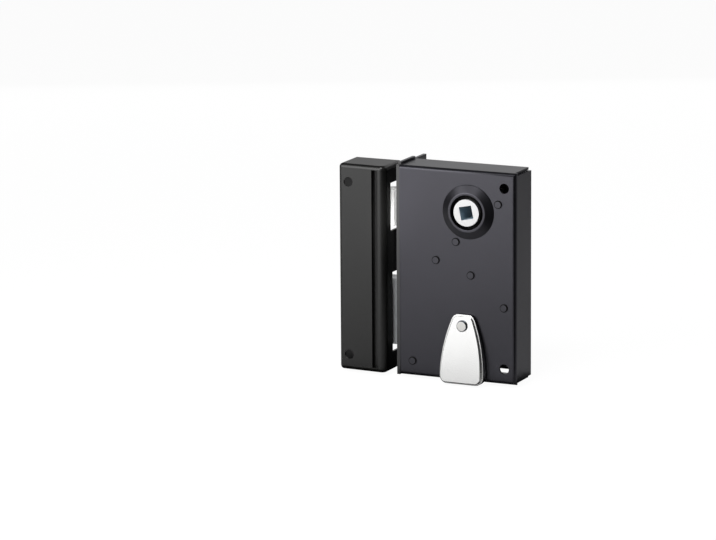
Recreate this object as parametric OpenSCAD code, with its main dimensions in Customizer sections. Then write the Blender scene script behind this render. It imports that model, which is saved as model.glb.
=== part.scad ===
// Rim box lock with its keep: a folded steel case for the face of a door, a sprung latch worked by a
// square follower, a key-thrown dead bolt held by four pivoting levers, and a box keep for the frame.
// X runs from the keep towards the far side of the case, Y into the door, Z up.
// The origin is the middle of the back cover, on the door face.

/* [Case] */
// Width of the case
case_w = 78; // [74:0.5:100]
// Height of the case
case_h = 130; // [128:0.5:160]
// Depth of the case, from its front to the door face
case_d = 24; // [22:0.25:30]
// Thickness of the folded steel sheet
sheet = 1.5; // [1.2:0.1:1.8]
// Outer radius of the folds round the front
fold_r = 2.4; // [1.9:0.1:2.4]
// Open seam left at each folded corner
corner_seam = 0.3; // [0.2:0.05:0.6]
// How far the forend stands behind the door face
forend_reach = 16.5; // [12:0.5:22]
// How far the forend stands above the top of the case
forend_rise = 1.4; // [0:0.1:1.6]
// How far the forend stands out past the side of the case
forend_out = 0.5; // [0:0.1:0.8]
// Diameter of the screw holes in the forend
forend_hole_d = 4.4; // [3:0.1:5.5]
// Distance between the screw holes in the forend
forend_hole_pitch = 84; // [60:1:100]
// Diameter of the fixing holes through the front
screw_hole_d = 6.2; // [4.5:0.1:7]
// Fixing holes to the far side of the case
screw_side = 7.6; // [6:0.1:9]
// Fixing holes to the top and to the bottom of the case
screw_end = 9.5; // [7:0.1:10]

/* [Back cover] */
// Thickness of the back cover
cover_t = 1.5; // [1.2:0.1:2]
// Gap between the cover and the walls round it
cover_gap = 0.3; // [0.2:0.05:0.5]
// Gap left between the cover and the bottom wall
cover_foot_gap = 2.7; // [1:0.1:4.5]
// Diameter of a cover screw's shank
cover_screw_d = 3; // [2:0.1:3.2]
// Diameter of a cover screw's sunk head
cover_screw_head_d = 5.4; // [4:0.1:6]
// Length of a cover screw
cover_screw_l = 8; // [6:0.5:12]

/* [Posts] */
// Diameter of the posts between front and cover
post_d = 5; // [4.4:0.1:5]
// Diameter of a post's riveted neck
neck_d = 3.4; // [2.4:0.1:4]
// Diameter of the riveted heads on the front
rivet_d = 5; // [4:0.1:6]
// Height of the riveted heads
rivet_h = 0.9; // [0.3:0.05:0.9]
// Top post to the far side of the case
top_post_side = 11.5; // [11:0.1:12.5]
// Height of the top post above the follower's axis
top_post_above = 6; // [4:0.1:6]
// Lever post to the far side of the case
lever_post_side = 7.7; // [7:0.1:9]
// Height of the lever post above the key's axis
lever_post_above = 23.8; // [22:0.1:25]
// Bottom post to the forend
bottom_post_in = 10; // [8:0.1:14]
// Bottom post to the bottom of the case
bottom_post_up = 9.4; // [9:0.1:11]

/* [Follower] */
// Follower's axis to the forend
follower_backset = 47; // [46:0.1:50]
// Follower's axis to the top of the case
follower_drop = 25.5; // [25:0.1:32]
// Diameter of the follower's hub
hub_d = 16.5; // [14:0.1:17]
// How far the hub stands out of the front
hub_proud = 3.3; // [1:0.1:4]
// Side of the square spindle hole
spindle = 8.1; // [6:0.1:9]
// Tilt of the spindle hole at rest
spindle_tilt = 12; // [0:1:15]
// Diameter of the follower's shoulder
shoulder_d = 20.4; // [19:0.1:21]
// Width of the follower's arm
arm_w = 6; // [5:0.1:6.5]
// Thickness of the follower's arm
arm_t = 6; // [4:0.1:6.5]
// Angle the follower turns through
follower_turn = 40; // [38:1:44]
// Diameter of the collar on the front
collar_d = 33.4; // [30:0.1:36]
// Diameter of the collar's rim
collar_rim_d = 24; // [23:0.1:26]
// Diameter of the open ring round the hub
collar_ring_d = 21.2; // [19:0.1:21.6]
// Height of the collar's rim
collar_h = 2.9; // [1.2:0.1:3.2]
// Height of the collar's outer edge
collar_edge = 0.5; // [0.3:0.1:1]

/* [Latch] */
// Height of the latch head
latch_h = 23; // [22:0.1:24]
// Thickness of the latch head
latch_t = 11; // [9.5:0.1:11.5]
// Gap between the latch's back and the cover
latch_off_cover = 3.4; // [3:0.1:3.8]
// How far the latch stands out
latch_throw = 12; // [10:0.1:12]
// How far the latch head's middle lies below the follower's axis
latch_below = 2.3; // [2:0.1:3]
// Thickness of the latch's flat end
latch_nose = 2.6; // [1.5:0.1:4]
// Thickness of the forked tail
tail_t = 2.5; // [2:0.1:2.8]
// Wire of the latch spring
spring_wire = 1; // [0.8:0.05:1.1]
// Turns of the latch spring
spring_turns = 2; // [1:1:2]

/* [Dead bolt] */
// Height of the dead bolt's head
bolt_h = 41.3; // [38:0.1:43]
// Height of the head's middle above the bottom of the case
bolt_rise = 36.5; // [36:0.1:37.5]
// Depth of the bolt's front face behind the case's front
bolt_front = 10.8; // [9:0.1:12]
// Thickness of the bolt's tail
bolt_tail_t = 3.5; // [3:0.1:3.6]
// Distance the bolt is thrown
bolt_throw = 16; // [13:0.1:16]
// Side of the square stump on the bolt
stump = 4; // [3:0.1:4.5]

/* [Key and levers] */
// Key's axis to the forend
key_backset = 44.5; // [44:0.1:46]
// Key's axis above the bottom of the case
key_rise = 23.5; // [23:0.1:25]
// Diameter of the key's stem
key_stem_d = 7; // [5:0.1:7.5]
// Reach of the key's bit from its axis
key_reach = 17.2; // [16.5:0.1:17.5]
// Width of the slot for the key's bit
bit_slot = 4.6; // [4:0.1:5]
// Gap between the case's front and the first lever
stack_gap = 0.75; // [0.5:0.05:1]
// Thickness of a lever
lever_t = 2.5; // [2:0.1:2.8]
// Angle a lever falls through from its lifted place
lever_drop = 8; // [6:0.5:8]
// How much shorter the key's inner steps are than its end steps
step_cut = 2; // [1:0.1:3]
// Thickness of the lever spring's leaves
leaf_t = 0.6; // [0.4:0.05:0.8]

/* [Flap] */
// Height of the flap's pivot above the key's axis
flap_above = 11.3; // [11:0.1:13]
// Flap's pivot to its top edge
flap_top_up = 6.7; // [6.5:0.1:7.5]
// Width of the flap across its pivot
flap_top_w = 17.3; // [16.5:0.1:19]
// Width of the flap across its middle
flap_mid_w = 25.3; // [24:0.1:27]
// Width of the flap across its foot
flap_foot_w = 28.7; // [27:0.1:31]
// Length of the flap below its pivot
flap_l = 35.9; // [34:0.1:38]
// How far the flap stands out at its pivot
flap_top_out = 3.8; // [3.2:0.1:4.5]
// How far the flap stands out at its foot
flap_foot_out = 8; // [6:0.1:9]
// Width of the flat rim round the flap's raised face
flap_rim = 1; // [0.6:0.1:1.4]
// How far the flap's face stands out of its rim at the pivot
flap_step = 1.2; // [0.8:0.1:1.5]
// How far the flap's face stands out of its rim at the foot
flap_foot_step = 2.2; // [1.6:0.1:2.8]
// Thickness of the flap's pressed sheet
flap_sheet = 1.2; // [0.8:0.1:1.4]
// Depth of the rivet's seat below the flap's face
flap_seat = 0.1; // [0:0.1:0.4]
// Diameter of the flap rivet's head
flap_rivet_d = 6.8; // [5.5:0.1:8]
// Height of the flap rivet's head
flap_rivet_h = 1.8; // [0.6:0.1:2]
// Thickness of the washer behind the flap
washer_t = 1.25; // [1.25:0.05:1.5]

/* [Keep] */
// Width of the keep
keep_w = 31.5; // [29:0.1:40]
// How much lower the keep is than the case
keep_short = 1.5; // [0:0.1:3]
// Gap between the keep and the case
keep_gap = 7.2; // [5:0.1:8]
// How far the keep's front stands before the case's front
keep_proud = 1; // [0:0.1:3]
// Radius of the rounded nose that the latch rides over
nose_r = 4; // [3:0.1:5]
// How far the nose stands before the keep's front
nose_proud = 1.3; // [0.5:0.1:2]
// Radius of the groove beside the nose
groove_r = 1.6; // [1:0.1:1.7]
// Room round the latch in the keep's window
latch_room = 3.4; // [2:0.1:4]
// Room round the dead bolt in the keep's window
bolt_room = 4.2; // [2:0.1:5]
// Diameter of the keep's screw holes
keep_hole_d = 6; // [4:0.1:7]
// Keep's screw holes to its far side
keep_hole_in = 6.5; // [5.5:0.1:8]
// Lower screw hole to the bottom of the keep
keep_hole_low = 9.6; // [8:0.1:14]
// Upper screw hole to the top of the keep
keep_hole_high = 11.2; // [8:0.1:14]

/* [Clearances] */
// Radial clearance of a running fit
run = 0.05; // [0.02:0.01:0.08]
// Clearance round a sliding bolt or latch
slide = 0.35; // [0.3:0.05:0.4]
// Clearance between parts that pass each other
pass = 0.3; // [0.3:0.05:0.4]

/* [Hidden] */
$fn = 64;
past = 1;

// Depths behind the case's front
inner_front = sheet;
inner_back = case_d - cover_t;

// Axes, as [distance from the forend, height above the bottom]
follower_at = [follower_backset, case_h - follower_drop];
key_at = [key_backset, key_rise];
lever_at = [case_w - lever_post_side, key_rise + lever_post_above];
flap_at = [key_backset, key_rise + flap_above];

// How far an end stays inside the face it comes up to
flush = 0.1;

// Seams of the case, room round the key, and details of the screws and rivets
notch_start = fold_r + 0.5;
key_room = 0.2;
bit_room = 0.5;
screw_slot_deep = 0.8;
screw_slot_half = 0.4;
screw_slot_reach = 2;
screw_spare = 1;
rivet_bevel = 0.5;

// Radii
post_r = post_d / 2;
hub_r = hub_d / 2;
collar_spigot_r = collar_rim_d / 2;
collar_seat = 3.3;
collar_behind = 3;
collar_end = inner_front + collar_behind;

// Dead bolt: the tail runs close to the cover, the head fills the depth up to its front face
bolt_off_cover = 1;
bolt_back = inner_back - bolt_off_cover;
bolt_tail_front = bolt_back - bolt_tail_t;
bolt_top = bolt_rise + bolt_h / 2;
bolt_low = bolt_rise - bolt_h / 2;
bolt_head_in = 5.5;
bolt_tail_end = case_w - sheet - pass - bolt_throw;
stump_room = 0.3;
stump_before_key = 14.5;
stump_above_bit = 10.3;
bit_into_tail = 4.7;
bit_top = key_rise + key_reach;
stump_at = [key_backset - stump_before_key, bit_top + stump_above_bit];
bolt_tail_low = bit_top - bit_into_tail;
talon_w = 7;
talon_depth = 5.3;
talon_in = key_backset - bolt_throw / 2;

// Levers: drawn at the lifted height, where their gates let the stump through
lever_web = 2.2;
lever_boss_r = 6;
lever_boss_gap = 0.1;
lever_count = 4;
stack_to_tail = 0.15;
stack_front = inner_front + stack_gap;
stack_back = bolt_tail_front - stack_to_tail;
lever_step = (stack_back - stack_front) / lever_count;
function lever_depth(i) = stack_front + lever_step * (i - 0.5);
function lever_fall(u) = (lever_at[0] - u) * sin(lever_drop);
pocket_side = 1.3;
pocket_spare = 0.4;
gate_roof = 0.8;
gate_floor = 3;
bit_into_belly = 3.2;
belly_half = 11;
belly_slope = 3;
top_run = 2;
waist = 0.5;
lever_left = stump_at[0] - stump / 2 - pocket_side - lever_web;
lever_top = stump_at[1] + stump / 2 + 2 * stump_room + lever_fall(stump_at[0]) + lever_web + gate_roof;
lever_low = stump_at[1] - stump / 2 - stump_room - gate_floor;
belly_low = bit_top - bit_into_belly;

// Lever spring: the eye ends with the last lever
eye_back = lever_depth(lever_count) + lever_t / 2;
leaf_run = 14.4;
leaf_room = 0.2;

// Remaining posts
guide_past_key = 4.1;
guide_over_lever = 1;
guide_at = [key_backset + guide_past_key, lever_top + guide_over_lever + post_r];
wing_over_guide = 2.1;
wing_top = guide_at[1] + post_r + wing_over_guide;
wing_web = 2.6;
spring_post_in = 25.6;
spring_post_over = 0.5;
spring_post_at = [spring_post_in, wing_top + spring_post_over + post_r];
latch_post_before = 8.2;
latch_post_below = 18.9;
latch_post_at = [follower_at[0] - latch_post_before, follower_at[1] - latch_post_below];
top_post_at = [case_w - top_post_side, follower_at[1] + top_post_above];
bottom_post_at = [bottom_post_in, bottom_post_up];
screw_in = case_w - screw_side;
screws_at = [[screw_in, screw_end], [screw_in, case_h - screw_end]];
cover_posts_at = [top_post_at, spring_post_at, lever_at, bottom_post_at];
pins_at = [latch_post_at, guide_at];

// Follower and latch: the arm's tip corner carries the latch's lug through the whole throw
shoulder_front = collar_end + pass;
latch_back = inner_back - latch_off_cover;
latch_front = latch_back - latch_t;
tail_front = latch_back - tail_t;
arm_off_tail = 1.1;
arm_back = tail_front - arm_off_tail;
arm_front = arm_back - arm_t;
arm_reach = (latch_throw - flush + arm_w / 2 * (1 - cos(follower_turn))) / sin(follower_turn);
lug_top = arm_reach * cos(follower_turn) - arm_w / 2 * sin(follower_turn);
lug_w = 3.5;
lug_gap = 0.2;
lug_low = sqrt(pow(shoulder_d / 2 + pass, 2) - pow(arm_w / 2 + lug_gap, 2));
latch_mid = follower_at[1] - latch_below;
latch_top = latch_mid + latch_h / 2;
latch_low = latch_mid - latch_h / 2;
latch_head_in = 12;
fork_room = 0.6;
fork_half = hub_r + fork_room;
fork_start = follower_at[0] - fork_half - latch_throw;
fork_to_wall = 3;
fork_end = case_w - sheet - fork_to_wall - latch_throw;
peg_r = 1.4;
peg_before = 16;
peg_up = 1.6;
peg_l = 2;
peg_at = [follower_at[0] - peg_before, latch_low + peg_up];
bevel_start = -0.5;

// Flap: pairs of round stations from top to foot, with a face that slopes out towards the foot.
// Its sides bow evenly through the widths at the pivot, the middle and the foot.
flap_back = -washer_t;
flap_corner_r = 5;
flap_mid_below = 14;
flap_foot_below = flap_l - flap_corner_r;
flap_top_below = flap_corner_r - flap_top_up;
flap_hollow_below = 8;
flap_steps = 8;
function flap_half(below) =
    let (t = below / flap_mid_below, foot = flap_foot_below / flap_mid_below)
    (flap_top_w * (t - 1) * (t - foot) / foot + flap_mid_w * t * (t - foot) / (1 - foot)
     + flap_foot_w * t * (t - 1) / (foot * (foot - 1))) / 2;
flap_slope = (flap_foot_out - flap_top_out) / flap_l;
flap_rim_out = flap_top_out - flap_step;
flap_rim_slope = (flap_foot_out - flap_foot_step - flap_rim_out) / flap_l;
flap_boss_r = 5.5;
flap_edge = 0.5;
flap_shank_r = 1.75;
flap_rivet_bevel = 0.5;
flap_rivet_room = 0.3;
flap_rivet_tail = 0.7;
flap_rivet_flare = 1;
washer_over = 1;
flap_rivet_seat = flap_seat + flap_slope * (flap_rivet_d / 2 + flap_rivet_room) - flap_top_out;

// Keep, measured in the case's directions from the forend
keep_h = case_h - keep_short;
keep_right = -keep_gap;
keep_left = keep_right - keep_w;
keep_front = -keep_proud;
nose_at = [keep_right - nose_r, keep_front - nose_proud + nose_r];
groove_off = -0.1;
nose_hollow_r = 1.9;
groove_floor = 1.6;
groove_at = [nose_at[0] - nose_r - groove_off, keep_front + groove_floor];
keep_sill = 2;

// Moves a piece drawn from the forend, the front and the bottom to the lock's own origin
module in_case() translate([-case_w / 2, -case_d, -case_h / 2]) children();

// Flat shape in [distance from the forend, height], as a plate from one depth to another
module plate(front, back)
    translate([0, back, 0])
        rotate([90, 0, 0])
            linear_extrude(back - front)
                children();

// Round bar along the depth
module rod(at, front, back, r)
    translate([at[0], front, at[1]])
        rotate([-90, 0, 0])
            cylinder(r = r, h = back - front);

// Block between two corners
module block(low, high) translate(low) cube(high - low);

// Turned shape about an axis along the depth; its outline is [radius, depth]
module turned(at)
    translate([at[0], 0, at[1]])
        rotate([-90, 0, 0])
            rotate_extrude()
                children();

// Open channel outline with rounded front corners
module channel_outline(w, front, back, inset, r) {
    translate([inset + r, front]) square([w - 2 * inset - 2 * r, back - front]);
    translate([inset, front + r]) square([w - 2 * inset, back - front - r]);
    for (u = [inset + r, w - inset - r])
        translate([u, front + r]) circle(r = r);
}

// Tray whose four front edges are rounded, open to the back
module tray(front, back, inset, r) intersection() {
    translate([0, 0, inset])
        linear_extrude(case_h - 2 * inset)
            channel_outline(case_w, front, back, inset, r);
    translate([inset, 0, case_h])
        rotate([0, 90, 0])
            linear_extrude(case_w - 2 * inset)
                channel_outline(case_h, front, back, inset, r);
}

// Square notch along each folded corner, where the walls stop short of each other
module corner_notches() {
    notch = sheet + corner_seam;
    for (u = [-past, case_w - notch], h = [-past, case_h - notch])
        block([u, notch_start, h], [u + notch + past, case_d + past, h + notch + past]);
}

// Keyhole: round for the stem, with a slot below it for the bit
module keyhole(front, back) {
    rod(key_at, front, back, key_stem_d / 2 + key_room);
    block([key_at[0] - bit_slot / 2, front, key_at[1] - key_reach - bit_room],
          [key_at[0] + bit_slot / 2, back, key_at[1]]);
}

// Window in the forend for a sliding head
module head_window(front, back, low, high)
    block([-past, front - slide, low - slide], [sheet + past, back + slide, high + slide]);

module case() color([0.16, 0.16, 0.17]) in_case() difference() {
    union() {
        difference() {
            tray(0, case_d, 0, fold_r);
            tray(inner_front, case_d + past, sheet, max(0.1, fold_r - sheet));
            corner_notches();
        }
        block([-forend_out, flush, 0], [sheet, case_d + forend_reach, case_h]);
        block([-forend_out, notch_start, case_h - past], [sheet, case_d, case_h + forend_rise]);
    }
    head_window(latch_front, latch_back, latch_low, latch_top);
    head_window(bolt_front, bolt_back, bolt_low, bolt_top);
    for (at = screws_at) rod(at, -past, inner_front + past, screw_hole_d / 2);
    for (at = concat(cover_posts_at, pins_at)) rod(at, -past, inner_front + past, neck_d / 2);
    rod(follower_at, -past, inner_front + past, collar_spigot_r + run);
    rod(flap_at, -past, inner_front + past, flap_shank_r);
    keyhole(-past, inner_front + past);
    for (side = [-1, 1])
        translate([-past, case_d + forend_reach * 0.55, case_h / 2 + side * forend_hole_pitch / 2])
            rotate([0, 90, 0])
                cylinder(d = forend_hole_d, h = sheet + 2 * past);
}

module back_cover() color([0.62, 0.63, 0.64]) in_case() difference() {
    block([sheet + cover_gap, inner_back, sheet + cover_foot_gap],
          [case_w - sheet - cover_gap, case_d, case_h - sheet - cover_gap]);
    rod(follower_at, inner_back - past, case_d + past, hub_r + run);
    keyhole(inner_back - past, case_d + past);
    for (at = cover_posts_at) turned(at) cover_screw_outline(run);
    for (at = pins_at) rod(at, inner_back - past, case_d + past, neck_d / 2 + run);
    for (at = screws_at) rod(at, inner_back - past, case_d + past, screw_hole_d / 2);
    block([screw_in - screw_hole_d / 2, inner_back - past, 0],
          [screw_in + screw_hole_d / 2, case_d + past, screw_end]);
}

// Sunk screw seen from the back: head flush with the door face, shank into the post
module cover_screw_outline(room) {
    head = cover_screw_head_d / 2;
    shank = cover_screw_d / 2;
    polygon([[0, case_d - cover_screw_l], [shank + room, case_d - cover_screw_l],
             [shank + room, case_d - (head - shank)], [head + room, case_d],
             [head + room, case_d + (room > 0 ? past : 0)], [0, case_d + (room > 0 ? past : 0)]]);
}

module cover_screws() color([0.75, 0.75, 0.76]) in_case()
    for (at = cover_posts_at) difference() {
        turned(at) cover_screw_outline(0);
        block([at[0] - screw_slot_reach, case_d - screw_slot_deep, at[1] - screw_slot_half],
              [at[0] + screw_slot_reach, case_d + past, at[1] + screw_slot_half]);
    }

// Post riveted into the front: low domed head outside, neck through the sheet, body behind it
module riveted_post(at) {
    r = rivet_d / 2;
    dome = [for (step = [[1, 1], [0.3, 0.86], [0, 0.55]]) [r - step[0] * rivet_bevel, -step[1] * rivet_h]];
    turned(at) polygon(concat([[0, -rivet_h]], dome,
                              [[r, 0], [neck_d / 2, 0], [neck_d / 2, inner_front],
                               [post_r, inner_front], [post_r, inner_back], [0, inner_back]]));
}

module cover_post(at) color([0.24, 0.24, 0.25]) in_case() difference() {
    riveted_post(at);
    rod(at, case_d - cover_screw_l - screw_spare, case_d, cover_screw_d / 2);
}

// Post whose end is let into the cover
module pin_post(at) color([0.24, 0.24, 0.25]) in_case() {
    riveted_post(at);
    rod(at, inner_back - past, case_d - flush, neck_d / 2);
}

module top_post() cover_post(top_post_at);
module spring_post() cover_post(spring_post_at);
module lever_post() cover_post(lever_at);
module bottom_post() cover_post(bottom_post_at);
module latch_spring_post() pin_post(latch_post_at);
module guide_post() pin_post(guide_at);

// Bearing for the hub: sloping collar outside, open ring round the hub, bore at the back
module follower_collar() color([0.13, 0.13, 0.14]) in_case() turned(follower_at)
    polygon([[hub_r + run, collar_end], [hub_r + run, collar_end - collar_seat],
             [collar_ring_d / 2, collar_end - collar_seat], [collar_ring_d / 2, -collar_h],
             [collar_spigot_r, -collar_h], [collar_d / 2, -collar_edge], [collar_d / 2, 0],
             [collar_spigot_r, 0], [collar_spigot_r, collar_end]]);

module follower() color([0.86, 0.86, 0.85]) in_case() difference() {
    union() {
        rod(follower_at, -hub_proud, case_d - flush, hub_r);
        rod(follower_at, shoulder_front, arm_back, shoulder_d / 2);
        block([follower_at[0] - arm_w / 2, arm_front, follower_at[1]],
              [follower_at[0] + arm_w / 2, arm_back, follower_at[1] + arm_reach]);
    }
    translate([follower_at[0], case_d / 2, follower_at[1]])
        rotate([0, -spindle_tilt, 0])
            cube([spindle, 2 * case_d, spindle], center = true);
}

module latch() color([0.88, 0.88, 0.87]) in_case() {
    latch_head();
    latch_tail();
    block([follower_at[0] + arm_w / 2 + lug_gap, arm_front + pass, follower_at[1] + lug_low],
          [follower_at[0] + arm_w / 2 + lug_gap + lug_w, tail_front, follower_at[1] + lug_top]);
    rod(peg_at, tail_front - peg_l, latch_back, peg_r);
}

// Head: flat in front, sloped behind so that it rides in over the keep's nose
module latch_head()
    translate([0, 0, latch_low])
        linear_extrude(latch_h)
            polygon([[latch_head_in, latch_front], [latch_head_in, latch_back], [bevel_start, latch_back],
                     [-latch_throw, latch_front + latch_nose], [-latch_throw, latch_front]]);

// Forked tail: its two prongs pass above and below the hub
module latch_tail() plate(tail_front, latch_back) difference() {
    translate([latch_head_in - past, latch_low])
        square([fork_end - latch_head_in + past, follower_at[1] + lug_top - latch_low]);
    translate([fork_start, follower_at[1] - fork_half])
        square([fork_end - fork_start + past, 2 * fork_half]);
}

// Round wire along a path of points that stays near one plane
wire_sides = 6;
function unit(v) = v / norm(v);
function wire_ring(path, i, r) =
    let (last = len(path) - 1,
         t = unit(path[min(i + 1, last)] - path[max(i - 1, 0)]),
         n = unit(cross([0, 1, 0], t)),
         b = cross(t, n))
    [for (k = [0:wire_sides - 1])
        path[i] + r * (cos(360 * k / wire_sides) * n + sin(360 * k / wire_sides) * b)];

module wire(path, r) {
    rings = len(path);
    points = [for (i = [0:rings - 1]) each wire_ring(path, i, r)];
    sides = [for (i = [0:rings - 2], k = [0:wire_sides - 1])
        let (a = wire_sides * i + k, b = wire_sides * i + (k + 1) % wire_sides)
        each [[a, b, a + wire_sides], [b, b + wire_sides, a + wire_sides]]];
    first = [for (k = [1:wire_sides - 2]) [0, k + 1, k]];
    end = wire_sides * (rings - 1);
    last = [for (k = [1:wire_sides - 2]) [end, end + k, end + k + 1]];
    polyhedron(points = points, faces = concat(sides, first, last));
}

// Latch spring: wound on its post, one leg behind the latch's peg, the other against the guide post.
// It lies in front of the latch's and the bolt's tails, so that both pass behind it.
spring_wire_r = spring_wire / 2;
coil_room = 0.25;
coil_gap = 0.45;
leg_room = 0.15;
leg_past = 2;
coil_r = post_r + coil_room + spring_wire_r;
coil_pitch = spring_wire + coil_gap;
coil_back = min(tail_front, bolt_tail_front) - pass - spring_wire_r - leg_room;
peg_leg_r = peg_r + spring_wire_r + leg_room;
post_leg_r = post_r + spring_wire_r + leg_room;
function round_at(at, r, a) = at + r * [cos(a), sin(a)];
// Angle of the straight leg that touches the coil and a round of radius r, on one side of both
function leg_angle(at, r, side) =
    let (v = at - latch_post_at)
    atan2(v[1], v[0]) + side * acos((coil_r - r) / norm(v));
function leg_end(at, r, a) =
    let (touch = round_at(at, r, a))
    touch + leg_past * unit(touch - round_at(latch_post_at, coil_r, a));
leg_up = leg_angle(peg_at, peg_leg_r, -1);
leg_down = leg_angle(guide_at, post_leg_r, 1) - 360 * spring_turns;
function coil_depth(a) = coil_back - (leg_up - a) / 360 * coil_pitch;
function in_depth(at, depth) = [at[0], depth, at[1]];
function coil_at(a) = in_depth(round_at(latch_post_at, coil_r, a), coil_depth(a));
coil_steps = 8 * spring_turns + 2;
coil_path = [for (i = [0:coil_steps]) coil_at(leg_up + (leg_down - leg_up) * i / coil_steps)];
spring_path = concat([in_depth(leg_end(peg_at, peg_leg_r, leg_up), coil_back)], coil_path,
                     [in_depth(leg_end(guide_at, post_leg_r, leg_down), coil_depth(leg_down))]);
// Least gap between turns, measured on points every 10 degrees that are half a turn or more apart
spring_gap = min([for (a = [leg_down:10:leg_up - 180], b = [a + 180:10:leg_up])
    norm(coil_at(a) - coil_at(b))]) - spring_wire;
echo(latch_spring_least_gap = spring_gap);

module latch_spring() color([0.55, 0.56, 0.58]) in_case() wire(spring_path, spring_wire_r);

module dead_bolt() color([0.72, 0.72, 0.73]) in_case() difference() {
    union() {
        block([-bolt_throw, bolt_front, bolt_low], [bolt_head_in, bolt_back, bolt_top]);
        plate(bolt_tail_front, bolt_back) bolt_tail();
    }
    translate([stump_at[0] - stump / 2, bolt_tail_front - past, stump_at[1] - stump / 2])
        cube([stump, bolt_tail_t + 2 * past, stump]);
}

// Tail with a wing that runs on the guide post, a fork for the lever post and a notch for the key
module bolt_tail() {
    slot_r = post_r + run;
    difference() {
        union() {
            translate([bolt_head_in - past, bolt_tail_low])
                square([bolt_tail_end - bolt_head_in + past, bolt_top - bolt_tail_low]);
            translate([guide_at[0] - bolt_throw - slot_r - wing_web, bolt_top - past])
                square([bolt_throw + 2 * (slot_r + wing_web), wing_top - bolt_top + past]);
        }
        for (u = [guide_at[0] - bolt_throw, guide_at[0]])
            translate([u, guide_at[1]]) circle(r = slot_r);
        translate([guide_at[0] - bolt_throw, guide_at[1] - slot_r])
            square([bolt_throw, 2 * slot_r]);
        translate([lever_at[0] - bolt_throw - post_r - pass, lever_at[1] - post_r - pass])
            square([case_w, 2 * (post_r + pass)]);
        translate([talon_in - talon_w / 2, bolt_tail_low - past])
            square([talon_w, talon_depth + past]);
    }
}

// Square stump, riveted into the tail, that has to pass the levers' gates
module bolt_stump() color([0.78, 0.62, 0.3]) in_case()
    block([stump_at[0] - stump / 2, stack_front, stump_at[1] - stump / 2],
          [stump_at[0] + stump / 2, bolt_back, stump_at[1] + stump / 2]);

// Gate: a pocket for the stump at each end of the throw, joined by a neck
module lever_gate() {
    low = stump_at[1] - stump / 2 - stump_room;
    neck = stump + 2 * stump_room;
    translate([stump_at[0], low]) square([bolt_throw, neck]);
    for (u = [stump_at[0], stump_at[0] + bolt_throw])
        translate([u - stump / 2 - pocket_side, low])
            square([stump + 2 * pocket_side + pocket_spare, neck + stump_room + lever_fall(stump_at[0])]);
}

// Lever: drawn lifted, with its belly on the path of its own step of the key
module lever(i) {
    step_r = key_reach + pass - (i == 1 ? 0 : step_cut);
    depth = lever_depth(i);
    color([0.8, 0.65, 0.32]) in_case() difference() {
        union() {
            plate(depth - lever_t / 2, depth + lever_t / 2) lever_outline();
            rod(lever_at, depth - lever_step / 2 + lever_boss_gap,
                depth + lever_step / 2 - lever_boss_gap, lever_boss_r);
        }
        plate(depth - lever_step, depth + lever_step) lever_gate();
        rod(lever_at, depth - lever_step, depth + lever_step, post_r + run);
        rod(key_at, depth - lever_step, depth + lever_step, step_r);
    }
}

module lever_outline()
    polygon([[lever_at[0], lever_at[1] + lever_boss_r - waist],
             [stump_at[0] + bolt_throw + stump / 2 + pocket_side + lever_web + top_run, lever_top],
             [lever_left, lever_top], [lever_left, lever_low],
             [key_at[0] - belly_half - belly_slope, lever_low], [key_at[0] - belly_half, belly_low],
             [key_at[0] + belly_half, belly_low], [lever_at[0], lever_at[1] - lever_boss_r + waist]]);

module lever_1() lever(1);
module lever_2() lever(2);
module lever_3() lever(3);
module lever_4() lever(4);

// Lever spring: an eye round its post with one leaf down to each lever's top edge
module lever_spring() color([0.58, 0.59, 0.61]) in_case() {
    eye_r = post_r + run;
    eye_mid = eye_r + leaf_t / 2;
    tip = [spring_post_at[0] + leaf_run, lever_top + pass + leaf_t / 2 + leaf_room];
    toward = spring_post_at - tip;
    away = norm(toward);
    leaf_l = sqrt(away * away - eye_mid * eye_mid);
    lean = atan2(toward[1], toward[0]) - asin(eye_mid / away);
    difference() {
        rod(spring_post_at, stack_front, eye_back, eye_r + leaf_t);
        rod(spring_post_at, inner_front - past, case_d, eye_r);
    }
    for (i = [1:lever_count])
        plate(lever_depth(i) - lever_t / 2 + leaf_room, lever_depth(i) + lever_t / 2 - leaf_room) {
            translate(tip)
                rotate(lean)
                    translate([0, -leaf_t / 2])
                        square([leaf_l, leaf_t]);
            translate(tip) circle(d = leaf_t);
        }
}

// Pair of round stations of the flap: full size behind, drawn in towards the front edge
module flap_pair(below, inset, out)
    for (side = [-1, 1], ring = [[0, 1], [0.25, 0.5], [0.6, 0.18], [1, 0]])
        rod(flap_at + [side * (flap_half(below) - flap_corner_r), -below],
            flap_edge * ring[1] - out, flap_back + flap_foot_out,
            flap_corner_r - inset - flap_edge * ring[0], $fn = 32);

// Form of the flap from one level down to its foot, inside its outline, with a sloped front
module flap_form(from, inset, out, slope)
    multmatrix([[1, 0, 0, 0], [0, 1, slope, -slope * flap_at[1]], [0, 0, 1, 0]])
        hull()
            for (i = [0:flap_steps])
                flap_pair(from + (flap_foot_below - from) * i / flap_steps, inset, out);

module flap() color([0.9, 0.9, 0.9]) in_case() difference() {
    union() {
        flap_form(flap_top_below, 0, flap_rim_out, flap_rim_slope);
        flap_form(flap_top_below, flap_rim, flap_top_out, flap_slope);
    }
    difference() {
        flap_form(flap_hollow_below, flap_rim + flap_sheet, flap_top_out - flap_sheet, flap_slope);
        rod(flap_at, -2 * flap_foot_out, case_d, flap_boss_r);
    }
    block([flap_at[0] - flap_foot_w, flap_back, flap_at[1] - 2 * flap_l],
          [flap_at[0] + flap_foot_w, case_d, flap_at[1] + flap_l]);
    rod(flap_at, -2 * flap_foot_out, flap_back + past, flap_shank_r + run);
    rod(flap_at, -2 * flap_foot_out, flap_rivet_seat, flap_rivet_d / 2 + flap_rivet_room);
}

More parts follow.
